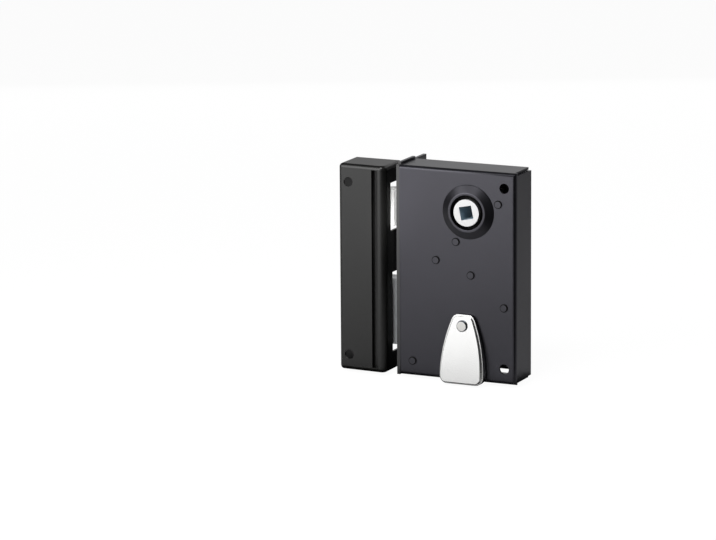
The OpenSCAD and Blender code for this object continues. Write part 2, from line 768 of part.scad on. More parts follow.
module flap_rivet() color([0.7, 0.7, 0.7]) in_case() turned(flap_at) {
    head = flap_rivet_seat - run;
    polygon([[0, head - flap_rivet_h], [flap_rivet_d / 2 - flap_rivet_bevel, head - flap_rivet_h],
             [flap_rivet_d / 2, head - flap_rivet_h / 2], [flap_rivet_d / 2, head],
             [flap_shank_r, head], [flap_shank_r, inner_front],
             [flap_shank_r + flap_rivet_flare, inner_front],
             [flap_shank_r + flap_rivet_flare, inner_front + flap_rivet_tail],
             [0, inner_front + flap_rivet_tail]]);
}

module flap_washer() color([0.6, 0.6, 0.6]) in_case() turned(flap_at)
    polygon([[flap_shank_r + run, flap_back + run], [flap_rivet_d / 2 + washer_over, flap_back + run],
             [flap_rivet_d / 2 + washer_over, 0], [flap_shank_r + run, 0]]);

// Outline of the keep from above, with its rounded nose towards the case
module keep_outline() difference() {
    union() {
        translate([keep_left + fold_r, keep_front])
            square([nose_at[0] - keep_left - fold_r, case_d - keep_front]);
        translate([keep_left, keep_front + fold_r])
            square([keep_w - past, case_d - keep_front - fold_r]);
        translate([nose_at[0], nose_at[1]]) square([nose_r, case_d - nose_at[1]]);
        translate([keep_left + fold_r, keep_front + fold_r]) circle(r = fold_r);
        translate(nose_at) circle(r = nose_r);
    }
    translate(groove_at) circle(r = groove_r);
    translate([groove_at[0] - groove_r, keep_front - past]) square([2 * groove_r, past + groove_floor]);
}

// Hollow of the keep, one sheet inside its outline
module keep_hollow() {
    translate([keep_left + sheet, keep_front + sheet])
        square([groove_at[0] - groove_r - sheet - keep_left - sheet, case_d]);
    translate([keep_left + sheet, groove_at[1] + groove_r + sheet])
        square([keep_w - 2 * sheet, case_d]);
    hull()
        for (back = [0, 2 * sheet])
            translate(nose_at + [0, back]) circle(r = nose_hollow_r);
}

// Window in the keep's side for a thrown head
module keep_window(front, back, low, high, room)
    block([keep_right - 2 * sheet, front - room / 2, low - room],
          [keep_right + past, min(back + room / 2, case_d - keep_sill), high + room]);

module keep_shell() color([0.15, 0.15, 0.16]) in_case() difference() {
    translate([0, 0, sheet]) linear_extrude(keep_h - 2 * sheet) difference() {
        keep_outline();
        keep_hollow();
    }
    keep_window(latch_front, latch_back, latch_low, latch_top, latch_room);
    keep_window(bolt_front, bolt_back, bolt_low, bolt_top, bolt_room);
    for (h = [keep_hole_low, keep_h - keep_hole_high])
        rod([keep_left + keep_hole_in, h], keep_front - past, keep_front + sheet + past,
            keep_hole_d / 2);
}

module keep_top_cap() color([0.17, 0.17, 0.18]) in_case()
    translate([0, 0, keep_h - sheet]) linear_extrude(sheet) keep_outline();

module keep_bottom_cap() color([0.14, 0.14, 0.15]) in_case()
    linear_extrude(sheet) keep_outline();

case();
back_cover();
cover_screws();
top_post();
spring_post();
latch_spring_post();
guide_post();
lever_post();
bottom_post();
follower_collar();
follower();
latch();
latch_spring();
dead_bolt();
bolt_stump();
lever_1();
lever_2();
lever_3();
lever_4();
lever_spring();
flap();
flap_rivet();
flap_washer();
keep_shell();
keep_top_cap();
keep_bottom_cap();
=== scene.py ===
import math

import bpy
from mathutils import Matrix, Vector


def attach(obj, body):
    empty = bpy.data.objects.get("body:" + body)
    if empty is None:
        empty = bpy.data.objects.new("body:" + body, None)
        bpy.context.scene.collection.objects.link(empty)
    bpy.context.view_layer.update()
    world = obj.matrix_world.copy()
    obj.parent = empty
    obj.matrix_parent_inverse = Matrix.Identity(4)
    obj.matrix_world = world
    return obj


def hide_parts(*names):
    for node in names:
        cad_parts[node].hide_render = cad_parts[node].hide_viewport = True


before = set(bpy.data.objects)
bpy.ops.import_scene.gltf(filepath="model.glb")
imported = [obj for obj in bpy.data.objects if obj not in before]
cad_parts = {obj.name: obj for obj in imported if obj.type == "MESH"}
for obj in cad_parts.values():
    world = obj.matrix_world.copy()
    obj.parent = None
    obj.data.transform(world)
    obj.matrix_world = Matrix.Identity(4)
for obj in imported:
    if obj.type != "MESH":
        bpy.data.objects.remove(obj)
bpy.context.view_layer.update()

# Sizes of the lock in millimetres, as in the part's source. A place is given by its distances from the
# forend, from the case's front and from the case's bottom.
CASE_W = 78.0
CASE_H = 130.0
CASE_D = 24.0
SHEET = 1.5

# Keep: left side, height, bend of its two ends, how far they reach over the shell, and the ways they face
KEEP_LEFT = -38.7
KEEP_H = 128.5
KEEP_FOLD = 2.3
KEEP_LIP = 1.2
UP = 1
DOWN = -1

# Follower: its axis, and a radius that holds the walls of its square hole
FOLLOWER_AT = (47.0, 104.5)
SPINDLE_REACH = 5.4

# Collar: radii of its bore, recess, rim and foot, and depths of its back, recess floor, rim and foot
COLLAR_BORE_R = 8.3
COLLAR_RECESS_R = 10.6
COLLAR_RIM_R = 12.0
COLLAR_FOOT_R = 16.7
COLLAR_BACK = 4.5
COLLAR_FLOOR = 1.2
COLLAR_RIM = -2.9
COLLAR_FOOT = -0.5
COLLAR_EDGE = 0.25
# Margins where the collar's finishes change: past its recess wall, behind its rim and out from its rim
COLLAR_WALL_SLACK = 0.05
COLLAR_RIM_SLACK = 0.3
COLLAR_SLOPE_SLACK = 0.2
COLLAR = [(COLLAR_BORE_R, COLLAR_BACK), (COLLAR_BORE_R, COLLAR_FLOOR), (COLLAR_RECESS_R, COLLAR_FLOOR),
          (COLLAR_RECESS_R, COLLAR_RIM), (COLLAR_RIM_R, COLLAR_RIM), (COLLAR_FOOT_R, COLLAR_FOOT),
          (COLLAR_FOOT_R, 0), (COLLAR_RIM_R, 0), (COLLAR_RIM_R, COLLAR_BACK)]

# Flap: its pivot, its widths at the pivot and at two levels below it, and where it and its hollow begin
FLAP_AT = (44.5, 34.8)
FLAP_TOP_W = 17.3
FLAP_MID_W = 25.3
FLAP_FOOT_W = 28.7
FLAP_MID_BELOW = 14.0
FLAP_FOOT_BELOW = 30.9
FLAP_TOP_BELOW = -1.7
FLAP_HOLLOW_BELOW = 8.0
FLAP_CORNER_R = 5.0
FLAP_L = FLAP_FOOT_BELOW + FLAP_CORNER_R
FLAP_STEPS = 10

# Flap: its back, how far its raised face and its rim stand out at the pivot, and how much more they do with
# each millimetre below it
FLAP_BACK = -1.25
FLAP_OUT = 3.8
FLAP_SLOPE = 4.2 / FLAP_L
FLAP_RIM = 1.0
FLAP_RIM_OUT = 2.6
FLAP_RIM_SLOPE = 3.2 / FLAP_L
FLAP_SHEET = 1.2
FLAP_EDGE = 0.25
FLAP_FACE_EDGE = 0.6

# Flap: boss, hole and sunk seat for its rivet
FLAP_BOSS_R = 5.5
FLAP_HOLE_R = 1.8
FLAP_SEAT_R = 3.7
FLAP_SEAT = -3.267

# Latch spring: a coil round its post and two straight legs, angles from the forend's side upwards
COIL_AT = (38.8, 85.6)
COIL_R = 3.25
COIL_PITCH = 1.45
COIL_DEPTH = 15.65
COIL_START = math.radians(56.0)
COIL_TURN = math.radians(750.1)
WIRE_R = 0.5
LEG_TO_PEG = 12.2
LEG_TO_GUIDE = 24.2

# Depths well clear of the flap, for the tools that cut it
BLOCK_FRONT = -3 * FLAP_OUT
BLOCK_BACK = 1.0
BORE_FRONT = -20.0
BORE_BACK = 10.0

# Nearness in millimetres: points of a CAD copy that are one, ends of a turned outline that meet, and points
# that lie on a plane
SAME_POINT = 0.002
SAME_END = 0.001
ON_PLANE = 0.01

# Angles in degrees: faces that turn less are one flat face, turns up to these are shaded smooth, and edges
# that turn more are rounded
FLAT = 0.5
SOFT_TURN = 32
WIRE_TURN = 40
EDGE_TURN = 40

# Steps round a turned or wound piece
TURN_STEPS = 96

# A face's direction as its part along one axis, where 1 is straight along it and 0 is square to it: the
# forend's front, the walls of a hole, the keep's walls, the rivet's flank and the ring round a riveted head
FRONT_PART = 0.7
HOLE_WALL_PART = 0.3
KEEP_WALL_PART = 0.95
RIVET_FLANK_PART = 0.85
HEAD_RING_PART = 0.96


def at(u, d, h):
    """Point in metres from distances to the forend, the case's front and its bottom, in millimetres."""
    return Vector(((u - CASE_W / 2) / 1000, (d - CASE_D) / 1000, (h - CASE_H / 2) / 1000))


def mm(length):
    return length / 1000


# Materials


def linear(hex_colour):
    """sRGB hex value as a linear colour with alpha."""
    parts = [int(hex_colour[i:i + 2], 16) / 255 for i in (1, 3, 5)]
    return tuple(p / 12.92 if p <= 0.04045 else ((p + 0.055) / 1.055) ** 2.4 for p in parts) + (1.0,)


def add(tree, kind, settings=None, links=None):
    """Adds a node, sets its properties and inputs, and links sockets of other nodes into it."""
    made = tree.nodes.new(kind)
    for name, value in (settings or {}).items():
        if hasattr(made, name):
            setattr(made, name, value)
        else:
            made.inputs[name].default_value = value
    for name, socket in (links or {}).items():
        tree.links.new(socket, made.inputs[name])
    return made


def new_material(name):
    material = bpy.data.materials.new(name)
    material.use_nodes = True
    material.node_tree.nodes.clear()
    return material, material.node_tree


def per_mm(size):
    """Scale of a pattern whose features are this many millimetres across, on Object coordinates."""
    return 1000 / size


def finish_surface(tree, shader):
    add(tree, "ShaderNodeOutputMaterial", links={"Surface": shader.outputs["BSDF"]})


# Patterns in millimetres across: clouds and orange peel of a coat, and clouds on metal
COAT_CLOUD = 38.0
COAT_PEEL = 0.9
METAL_CLOUD = 14.0


def thin_coat(name, light, dark, middle, rough, gleam, gleam_tint="#ffffff"):
    """Thin coat on metal, as stoved enamel; also used for painted shade, a painted highlight and a painted
    reflection: soft sheen, slight orange peel, faint clouding.
    """
    material, tree = new_material(name)
    where = add(tree, "ShaderNodeTexCoord")
    clouds = add(tree, "ShaderNodeTexNoise", {"Scale": per_mm(COAT_CLOUD), "Detail": 2.0},
                 {"Vector": where.outputs["Object"]})
    tones = add(tree, "ShaderNodeValToRGB", links={"Fac": clouds.outputs["Fac"]})
    tones.color_ramp.elements[0].position = 0.3
    tones.color_ramp.elements[0].color = linear(dark)
    tones.color_ramp.elements[1].position = 0.7
    tones.color_ramp.elements[1].color = linear(light)
    tones.color_ramp.elements.new(0.5).color = linear(middle)
    peel = add(tree, "ShaderNodeTexNoise", {"Scale": per_mm(COAT_PEEL), "Detail": 2.0, "Roughness": 0.45},
               {"Vector": where.outputs["Object"]})
    bump = add(tree, "ShaderNodeBump", {"Strength": 0.12, "Distance": mm(0.05)},
               {"Height": peel.outputs["Fac"]})
    gloss = add(tree, "ShaderNodeMapRange", {"To Min": rough - 0.05, "To Max": rough + 0.05},
                {"Value": clouds.outputs["Fac"]})
    shader = add(tree, "ShaderNodeBsdfPrincipled",
                 {"IOR": 1.5, "Specular IOR Level": gleam, "Specular Tint": linear(gleam_tint)},
                 {"Base Color": tones.outputs["Color"], "Roughness": gloss.outputs["Result"],
                  "Normal": bump.outputs["Normal"]})
    finish_surface(tree, shader)
    return material


def bright_metal(name, light, dark, rough, stretch, line, bump_mm, spread, metallic):
    """Metal with fine lines: stretch gives the lines' direction, line their width in millimetres.

    Real drawn lines and casting grain are under 0.1 mm wide. They are drawn wider so that they show."""
    material, tree = new_material(name)
    where = add(tree, "ShaderNodeTexCoord")
    turn = add(tree, "ShaderNodeMapping", {"Scale": stretch}, {"Vector": where.outputs["Object"]})
    lines = add(tree, "ShaderNodeTexNoise", {"Scale": per_mm(line), "Detail": 3.0},
                {"Vector": turn.outputs["Vector"]})
    clouds = add(tree, "ShaderNodeTexNoise", {"Scale": per_mm(METAL_CLOUD), "Detail": 2.0},
                 {"Vector": where.outputs["Object"]})
    # A Mix node has its two colours at inputs 6 and 7 and their blend at output 2
    tones = add(tree, "ShaderNodeMix", {"data_type": "RGBA"}, {"Factor": clouds.outputs["Fac"]})
    tones.inputs[6].default_value = linear(dark)
    tones.inputs[7].default_value = linear(light)
    gloss = add(tree, "ShaderNodeMapRange", {"To Min": rough - spread, "To Max": rough + spread},
                {"Value": lines.outputs["Fac"]})
    bump = add(tree, "ShaderNodeBump", {"Strength": 0.25, "Distance": mm(bump_mm)},
               {"Height": lines.outputs["Fac"]})
    shader = add(tree, "ShaderNodeBsdfPrincipled", {"Metallic": metallic},
                 {"Base Color": tones.outputs[2], "Roughness": gloss.outputs["Result"],
                  "Normal": bump.outputs["Normal"]})
    finish_surface(tree, shader)
    return material


# Directions of a metal's lines
ALONG_Z = (1.0, 1.0, 0.04)
ALONG_X = (0.04, 1.0, 1.0)
EVEN = (1.0, 1.0, 1.0)

# Stoved enamel on the case: near black, with broad soft highlights that lean a little to violet
case_paint = thin_coat("stoved_black_paint_case", "#111114", "#0d0d0f", "#101013",
                       rough=0.32, gleam=0.89, gleam_tint="#f3f1ff")
# The case's enamel on the collar's turned slope, with a darker colour and less sheen than the front round
# it: painted shade
collar_shaded_paint = thin_coat("stoved_black_paint_collar_shaded", "#0d0d10", "#09090b", "#0b0b0d",
                         rough=0.34, gleam=0.56, gleam_tint="#f3f1ff")
# Enamel on the keep: duller than the case and slightly warm
keep_paint = thin_coat("stoved_black_paint_keep", "#0e0e0d", "#0b0b0a", "#0d0d0c", rough=0.38, gleam=0.6)
# Enamel on the forend's cut edge, a touch lighter than the front beside it: a painted highlight along the
# edge
edge_highlight_paint = thin_coat("painted_highlight_edge", "#1c1c1e", "#121214", "#171719", rough=0.32, gleam=0.93)
# Zinc plate on the bolt, the cover and the washer: pale grey with lines along the height, half dull
zinc_plate = bright_metal("bright_zinc_plate", "#dddfe0", "#ced1d4", rough=0.34, stretch=ALONG_Z,
                          line=0.35, bump_mm=0.01, spread=0.08, metallic=0.35)
# Zinc casting of the hub, left bare: bright and colourless with an even grain
zinc_cast = bright_metal("bare_zinc_casting", "#dedede", "#cecece", rough=0.3, stretch=EVEN,
                         line=0.8, bump_mm=0.02, spread=0.06, metallic=0.9)
# Zinc casting of the latch, tumbled: almost white and matt
zinc_matt = bright_metal("tumbled_zinc_casting", "#f5f5f3", "#eeeeeb", rough=0.5, stretch=EVEN,
                         line=0.8, bump_mm=0.02, spread=0.08, metallic=0.15)
# Satin nickel on the flap: a blurred mirror, the whitest surface of the lock
nickel = bright_metal("satin_nickel_plate", "#e2e2e1", "#dadad9", rough=0.25, stretch=ALONG_Z,
                      line=0.3, bump_mm=0.006, spread=0.05, metallic=1.0)
# Plain steel of the rivet and the screws: light grey and dull, with coarse lines across
rivet_steel = bright_metal("plain_rivet_steel", "#efeeeb", "#d9d8d4", rough=0.44, stretch=ALONG_X,
                           line=0.5, bump_mm=0.04, spread=0.1, metallic=0.5)
# Stamped brass of the levers and the stump: yellow with lines along the sheet
brass = bright_metal("stamped_brass", "#d0ab58", "#b88f3e", rough=0.3, stretch=ALONG_X,
                     line=0.4, bump_mm=0.01, spread=0.08, metallic=1.0)
# Spring steel, blued: darker than the other metals, with sharp glints. On the rivet's flank it is painted
# shade.
spring_steel = bright_metal("blued_spring_steel", "#868b94", "#6d727c", rough=0.25, stretch=EVEN,
                            line=0.4, bump_mm=0.008, spread=0.08, metallic=1.0)
# Walls of the spindle hole: blue-grey with little shine, a painted bluish reflection on the zinc
bore_reflection_paint = thin_coat("painted_reflection_bore", "#b2c6d2", "#8b9faa", "#9fb4c0", rough=0.5, gleam=0.5)
# Painted shade: matt black with almost no sheen, in the recess round the hub, on the keep's walls in the gap
# and the groove, and on the ring round each riveted head
painted_shade_black = thin_coat("painted_shade_matt_black", "#080808", "#050505", "#060606", rough=0.6, gleam=0.15)


# Modelling


def deselect():
    bpy.ops.object.select_all(action="DESELECT")


def activate(piece):
    deselect()
    piece.select_set(True)
    bpy.context.view_layer.objects.active = piece


def edit_all(piece):
    """Opens a piece in edit mode with all of it selected."""
    activate(piece)
    bpy.ops.object.mode_set(mode="EDIT")
    bpy.ops.mesh.select_all(action="SELECT")


def leave_edit():
    bpy.ops.object.mode_set(mode="OBJECT")


def pick_edges(piece, wanted):
    """Selects the edges whose two ends both pass the test, and stays in edit mode."""
    activate(piece)
    bpy.ops.object.mode_set(mode="EDIT")
    bpy.ops.mesh.select_mode(type="EDGE")
    bpy.ops.mesh.select_all(action="DESELECT")
    leave_edit()
    points = piece.data.vertices
    for line in piece.data.edges:
        line.select = all(wanted(points[i].co) for i in line.vertices)
    bpy.ops.object.mode_set(mode="EDIT")


def apply_modifier(piece, kind, settings):
    activate(piece)
    modifier = piece.modifiers.new(kind.title(), kind)
    for name, value in settings.items():
        setattr(modifier, name, value)
    bpy.ops.object.modifier_apply(modifier=modifier.name)


def settle(piece):
    """Puts a piece's place into its mesh, so that its object sits at the origin."""
    activate(piece)
    bpy.ops.object.transform_apply(location=True, rotation=True, scale=True)


def smooth(piece, degrees):
    activate(piece)
    bpy.ops.object.shade_smooth_by_angle(angle=math.radians(degrees))


def shade(piece, degrees=SOFT_TURN):
    """Smooth shading over gentle turns, with the large faces kept flat."""
    smooth(piece, degrees)
    apply_modifier(piece, "WEIGHTED_NORMAL", {"mode": "FACE_AREA", "weight": 100, "keep_sharp": True})


def combine(piece, tool, operation):
    """Adds a tool's shape to a piece or takes it out, and removes the tool."""
    apply_modifier(piece, "BOOLEAN", {"object": tool, "operation": operation, "solver": "EXACT"})
    bpy.data.objects.remove(tool)


def cut(piece, tool):
    combine(piece, tool, "DIFFERENCE")


def pin(centre, front, back, radius):
    """Round cutting tool along the depth."""
    deselect()
    bpy.ops.mesh.primitive_cylinder_add(vertices=72, radius=mm(radius), depth=mm(back - front),
                                        location=at(centre[0], (front + back) / 2, centre[1]),
                                        rotation=(math.pi / 2, 0, 0))
    settle(bpy.context.object)
    return bpy.context.object


def trim(piece, height, outward):
    """Cuts off what stands past a height, upwards or downwards."""
    edit_all(piece)
    bpy.ops.mesh.bisect(plane_co=at(0, 0, height), plane_no=(0, 0, outward), clear_outer=True)
    leave_edit()


def wrap():
    """In edit mode, turns what is selected into its convex hull, with flat faces made whole."""
    bpy.ops.mesh.convex_hull()
    bpy.ops.mesh.select_all(action="SELECT")
    bpy.ops.mesh.dissolve_limited(angle_limit=math.radians(FLAT))


def dress(piece, finish, body, node):
    """Gives a piece its finish, the body it moves with and the node it stands for."""
    piece.data.materials.clear()
    piece.data.materials.append(finish)
    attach(piece, body)
    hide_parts(node)


def repaint(node, finish):
    """A CAD node whose shape is right keeps it and takes the finish."""
    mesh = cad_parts[node].data
    mesh.materials.clear()
    mesh.materials.append(finish)


def patch(piece, finish, wanted):
    """Gives one more finish to the faces that pass the test on their middle and their direction."""
    piece.data.materials.append(finish)
    for face in piece.data.polygons:
        if wanted(face.center, face.normal):
            face.material_index = len(piece.data.materials) - 1


def off_axis(point):
    """Distance from the follower's axis."""
    axis = at(FOLLOWER_AT[0], 0, FOLLOWER_AT[1])
    return math.hypot(point.x - axis.x, point.z - axis.z)


# Pieces


def softened(node, body, finish, edge, turn=EDGE_TURN, soft=SOFT_TURN):
    """Merged copy of a CAD node with its sharp edges rounded, as pressed, cast or painted metal has."""
    piece = bpy.data.objects.new(node + "_finished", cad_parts[node].data.copy())
    bpy.context.scene.collection.objects.link(piece)
    edit_all(piece)
    bpy.ops.mesh.remove_doubles(threshold=mm(SAME_POINT))
    bpy.ops.mesh.dissolve_limited(angle_limit=math.radians(FLAT))
    leave_edit()
    if edge:
        apply_modifier(piece, "BEVEL", {"limit_method": "ANGLE", "angle_limit": math.radians(turn),
                                        "width": mm(edge), "segments": 2, "use_clamp_overlap": True,
                                        "loop_slide": True})
    shade(piece, soft)
    dress(piece, finish, body, node)
    return piece


def turned(name, outline, centre, edge):
    """Turned piece: an outline of (radius, depth), its corners rounded, spun about its axis."""
    points = [Vector((mm(radius), mm(depth), 0)) for radius, depth in outline]
    deselect()
    bpy.ops.mesh.primitive_plane_add(size=mm(1))
    piece = bpy.context.object
    piece.name = name
    edit_all(piece)
    bpy.ops.mesh.merge(type="CENTER")
    bpy.ops.transform.translate(value=points[0])
    for start, end in zip(points, points[1:] + points[:1]):
        bpy.ops.mesh.extrude_region_move(TRANSFORM_OT_translate={"value": end - start})
    bpy.ops.mesh.select_all(action="SELECT")
    bpy.ops.mesh.remove_doubles(threshold=mm(SAME_END))
    bpy.ops.mesh.select_all(action="SELECT")
    bpy.ops.mesh.bevel(offset=mm(edge), segments=3, affect="VERTICES")
    leave_edit()
    apply_modifier(piece, "SCREW", {"axis": "Y", "angle": math.tau, "steps": TURN_STEPS,
                                    "render_steps": TURN_STEPS, "use_merge_vertices": True,
                                    "merge_threshold": mm(SAME_END)})
    edit_all(piece)
    bpy.ops.mesh.normals_make_consistent(inside=False)
    bpy.ops.transform.translate(value=at(centre[0], 0, centre[1]))
    leave_edit()
    shade(piece)
    return piece


def rounded_cap(node, height, outward):
    """End of the keep: closes the groove, reaches over the shell by a lip, and is rounded as a bend is."""
    piece = softened(node, "lock_case", keep_paint, edge=0)
    edit_all(piece)
    wrap()
    leave_edit()
    inner = at(0, 0, height - outward * SHEET).z
    pick_edges(piece, lambda co: abs(co.z - inner) < mm(ON_PLANE))
    bpy.ops.transform.translate(value=(0, 0, -outward * mm(KEEP_LIP)))
    leave_edit()
    outer = at(0, 0, height).z
    pick_edges(piece, lambda co: abs(co.z - outer) < mm(ON_PLANE))
    bpy.ops.mesh.bevel(offset=mm(KEEP_FOLD), segments=5, affect="EDGES", clamp_overlap=True)
    leave_edit()
    shade(piece)


def flap_half(below):
    """Half the flap's width at a level below its pivot: an even bow through the three widths."""
    level = below / FLAP_MID_BELOW
    foot = FLAP_FOOT_BELOW / FLAP_MID_BELOW
    return (FLAP_TOP_W * (level - 1) * (level - foot) / foot
            + FLAP_MID_W * level * (level - foot) / (1 - foot)
            + FLAP_FOOT_W * level * (level - 1) / (foot * (foot - 1))) / 2


def flap_discs(top, inset):
    """Discs at both ends of the depth, whose hull has the flap's outline, drawn in by the inset."""
    discs = []
    for step in range(FLAP_STEPS + 1):
        below = top + (FLAP_FOOT_BELOW - top) * step / FLAP_STEPS
        across = flap_half(below) - FLAP_CORNER_R
        for depth in (BLOCK_FRONT, BLOCK_BACK + inset):
            for side in (-1, 1):
                deselect()
                place = at(FLAP_AT[0] + side * across, depth, FLAP_AT[1] - below)
                bpy.ops.mesh.primitive_circle_add(vertices=64, radius=mm(FLAP_CORNER_R - inset),
                                                  fill_type="NGON", location=place,
                                                  rotation=(math.pi / 2, 0, 0))
                discs.append(bpy.context.object)
    return discs


def flap_block(name, top, inset, out, slope, edge):
    """Flap's outline, drawn in, as a block with its front cut to a slope and rounded off at the edge."""
    discs = flap_discs(top, inset)
    deselect()
    for disc in discs:
        disc.select_set(True)
    bpy.context.view_layer.objects.active = discs[0]
    bpy.ops.object.join()
    block = bpy.context.object
    block.name = name
    settle(block)
    edit_all(block)
    wrap()
    bpy.ops.mesh.select_all(action="SELECT")
    face_at = at(FLAP_AT[0], -out, FLAP_AT[1])
    face_out = Vector((0, -1, slope)).normalized()
    bpy.ops.mesh.bisect(plane_co=face_at, plane_no=face_out, use_fill=True, clear_outer=True)
    leave_edit()
    pick_edges(block, lambda co: abs((co - face_at).dot(face_out)) < mm(ON_PLANE))
    bpy.ops.mesh.bevel(offset=mm(edge), segments=5, affect="EDGES")
    leave_edit()
    return block


def keyhole_flap():
    """Pressed keyhole flap: raised sloped face in a flat rim, hollow behind, boss and seat for its rivet."""
    flap = flap_block("flap_pressed", FLAP_TOP_BELOW, 0, FLAP_RIM_OUT, FLAP_RIM_SLOPE, FLAP_EDGE)
    raised = flap_block("flap_face", FLAP_TOP_BELOW, FLAP_RIM, FLAP_OUT, FLAP_SLOPE, FLAP_FACE_EDGE)
    combine(flap, raised, "UNION")
    hollow = flap_block("flap_hollow", FLAP_HOLLOW_BELOW, FLAP_RIM + FLAP_SHEET, FLAP_OUT - FLAP_SHEET,
                        FLAP_SLOPE, FLAP_EDGE)
    cut(hollow, pin(FLAP_AT, BORE_FRONT, BORE_BACK, FLAP_BOSS_R))
    cut(flap, hollow)
    cut(flap, pin(FLAP_AT, BORE_FRONT, BORE_BACK, FLAP_HOLE_R))
    cut(flap, pin(FLAP_AT, BORE_FRONT, FLAP_SEAT, FLAP_SEAT_R))
    edit_all(flap)
    bpy.ops.mesh.bisect(plane_co=at(0, FLAP_BACK, 0), plane_no=(0, 1, 0), use_fill=True, clear_outer=True)
    leave_edit()
    shade(flap)
    return flap


def wound_latch_spring():
    """Round wire wound twice round its post, with a leg to the latch's peg and one to the guide post."""
    deselect()
    start = (mm(COIL_R) * math.cos(COIL_START), 0, mm(COIL_R) * math.sin(COIL_START))
    bpy.ops.mesh.primitive_circle_add(vertices=12, radius=mm(WIRE_R), location=start,
                                      rotation=(0, -COIL_START, 0))
    wire = bpy.context.object
    wire.name = "latch_spring_wire"
    settle(wire)
    climb = COIL_PITCH * COIL_TURN / math.tau
    apply_modifier(wire, "SCREW", {"axis": "Y", "angle": COIL_TURN, "steps": TURN_STEPS,
                                   "render_steps": TURN_STEPS, "screw_offset": -mm(climb),
                                   "use_merge_vertices": False})
    edit_all(wire)
    bpy.ops.transform.translate(value=at(COIL_AT[0], COIL_DEPTH, COIL_AT[1]))
    leave_edit()
    for angle, depth, sense, leg in ((COIL_START, COIL_DEPTH, 1, LEG_TO_PEG),
                                     (COIL_START - COIL_TURN, COIL_DEPTH - climb, -1, LEG_TO_GUIDE)):
        ring_at = at(COIL_AT[0] + COIL_R * math.cos(angle), depth, COIL_AT[1] + COIL_R * math.sin(angle))
        along = sense * Vector((-math.sin(angle), 0, math.cos(angle)))
        pick_edges(wire, lambda co: (co - ring_at).length < mm(1.2 * WIRE_R)
                   and abs((co - ring_at).dot(along)) < mm(2 * ON_PLANE))
        bpy.ops.mesh.extrude_region_move(TRANSFORM_OT_translate={"value": along * mm(leg)})
        bpy.ops.mesh.edge_face_add()
        leave_edit()
    edit_all(wire)
    bpy.ops.mesh.normals_make_consistent(inside=False)
    leave_edit()
    smooth(wire, WIRE_TURN)
    return wire


posts = ["top_post", "spring_post", "latch_spring_post", "guide_post", "lever_post", "bottom_post"]
levers = ["lever_1", "lever_2", "lever_3", "lever_4"]

# Case, its collar and the riveted heads of its posts
shell = softened("case", "lock_case", case_paint, edge=0.25)
collar = turned("follower_collar_turned", COLLAR, FOLLOWER_AT, COLLAR_EDGE)
dress(collar, case_paint, "lock_case", "follower_collar")
heads = [softened(post, "lock_case", case_paint, edge=0.12, turn=60, soft=45)
         for post in posts]

# Keep: the shell ends where the lips of its caps begin
keep = softened("keep_shell", "lock_case", keep_paint, edge=0.25)
trim(keep, KEEP_H - SHEET - KEEP_LIP, UP)
trim(keep, SHEET + KEEP_LIP, DOWN)
shade(keep)
rounded_cap("keep_top_cap", KEEP_H, UP)
rounded_cap("keep_bottom_cap", 0, DOWN)

# Cover and small fixed pieces
softened("back_cover", "lock_case", zinc_plate, edge=0.2)
softened("cover_screws", "lock_case", rivet_steel, edge=0.15)
rivet = softened("flap_rivet", "lock_case", rivet_steel, edge=0.2)
softened("flap_washer", "lock_case", zinc_plate, edge=0.1)

# Moving pieces and the works inside
softened("latch", "latch", zinc_matt, edge=0.4)
softened("dead_bolt", "dead_bolt", zinc_plate, edge=0.5)
hub = softened("follower", "follower", zinc_cast, edge=0.3)
for lever in levers:
    repaint(lever, brass)
repaint("bolt_stump", brass)
repaint("lever_spring", spring_steel)
dress(wound_latch_spring(), spring_steel, "lock_case", "latch_spring")
dress(keyhole_flap(), nickel, "flap", "flap")

# Front edge of the forend: painted highlight
patch(shell, edge_highlight_paint, lambda spot, out: out.y < -FRONT_PART and spot.x < at(SHEET, 0, 0).x)
# Walls of the spindle hole: painted bluish reflection
patch(hub, bore_reflection_paint, lambda spot, out: abs(out.y) < HOLE_WALL_PART and off_axis(spot) < mm(SPINDLE_REACH))
# Recess round the hub, behind the collar's rim: painted shade
patch(collar, painted_shade_black, lambda spot, out: off_axis(spot) < mm(COLLAR_RECESS_R + COLLAR_WALL_SLACK)
      and spot.y > at(0, COLLAR_RIM + COLLAR_RIM_SLACK, 0).y)
# Slope of the collar, out from its rim: painted shade, darker than the front
patch(collar, collar_shaded_paint, lambda spot, out: off_axis(spot) > mm(COLLAR_RIM_R + COLLAR_SLOPE_SLACK))
# Walls of the keep that face right, to the gap and the groove: painted shade. The inside of its left wall,
# which shows through the screw holes, stays in the keep's enamel.
patch(keep, painted_shade_black, lambda spot, out: out.x > KEEP_WALL_PART
      and spot.x > at(KEEP_LEFT + 2 * SHEET, 0, 0).x)
# Flank of the flap's rivet: darker blued steel as painted shade, for a dark crescent at its side
patch(rivet, spring_steel, lambda spot, out: abs(out.y) < RIVET_FLANK_PART)
# Ring round each riveted head: painted shade, for the dark crescent at its side
for head in heads:
    patch(head, painted_shade_black, lambda spot, out: abs(out.y) < HEAD_RING_PART)


# Stage: floor, light and camera, in metres

FLOOR_Z = at(0, 0, -2.2).z
FLOOR_R = 3.0
CARD_LIFT = 0.001


def aim(thing, target):
    thing.rotation_mode = "QUATERNION"
    thing.rotation_quaternion = (Vector(target) - thing.location).to_track_quat("-Z", "Y")


def softbox(name, place, target, width, height, radiance):
    """Rectangular lamp that looks this bright, where 1 is white, and is not seen itself."""
    lamp = bpy.data.lights.new(name, "AREA")
    lamp.shape = "RECTANGLE"
    lamp.size = width
    lamp.size_y = height
    lamp.energy = radiance * math.pi * width * height
    box = bpy.data.objects.new(name, lamp)
    bpy.context.scene.collection.objects.link(box)
    box.location = place
    aim(box, target)
    box.visible_camera = False


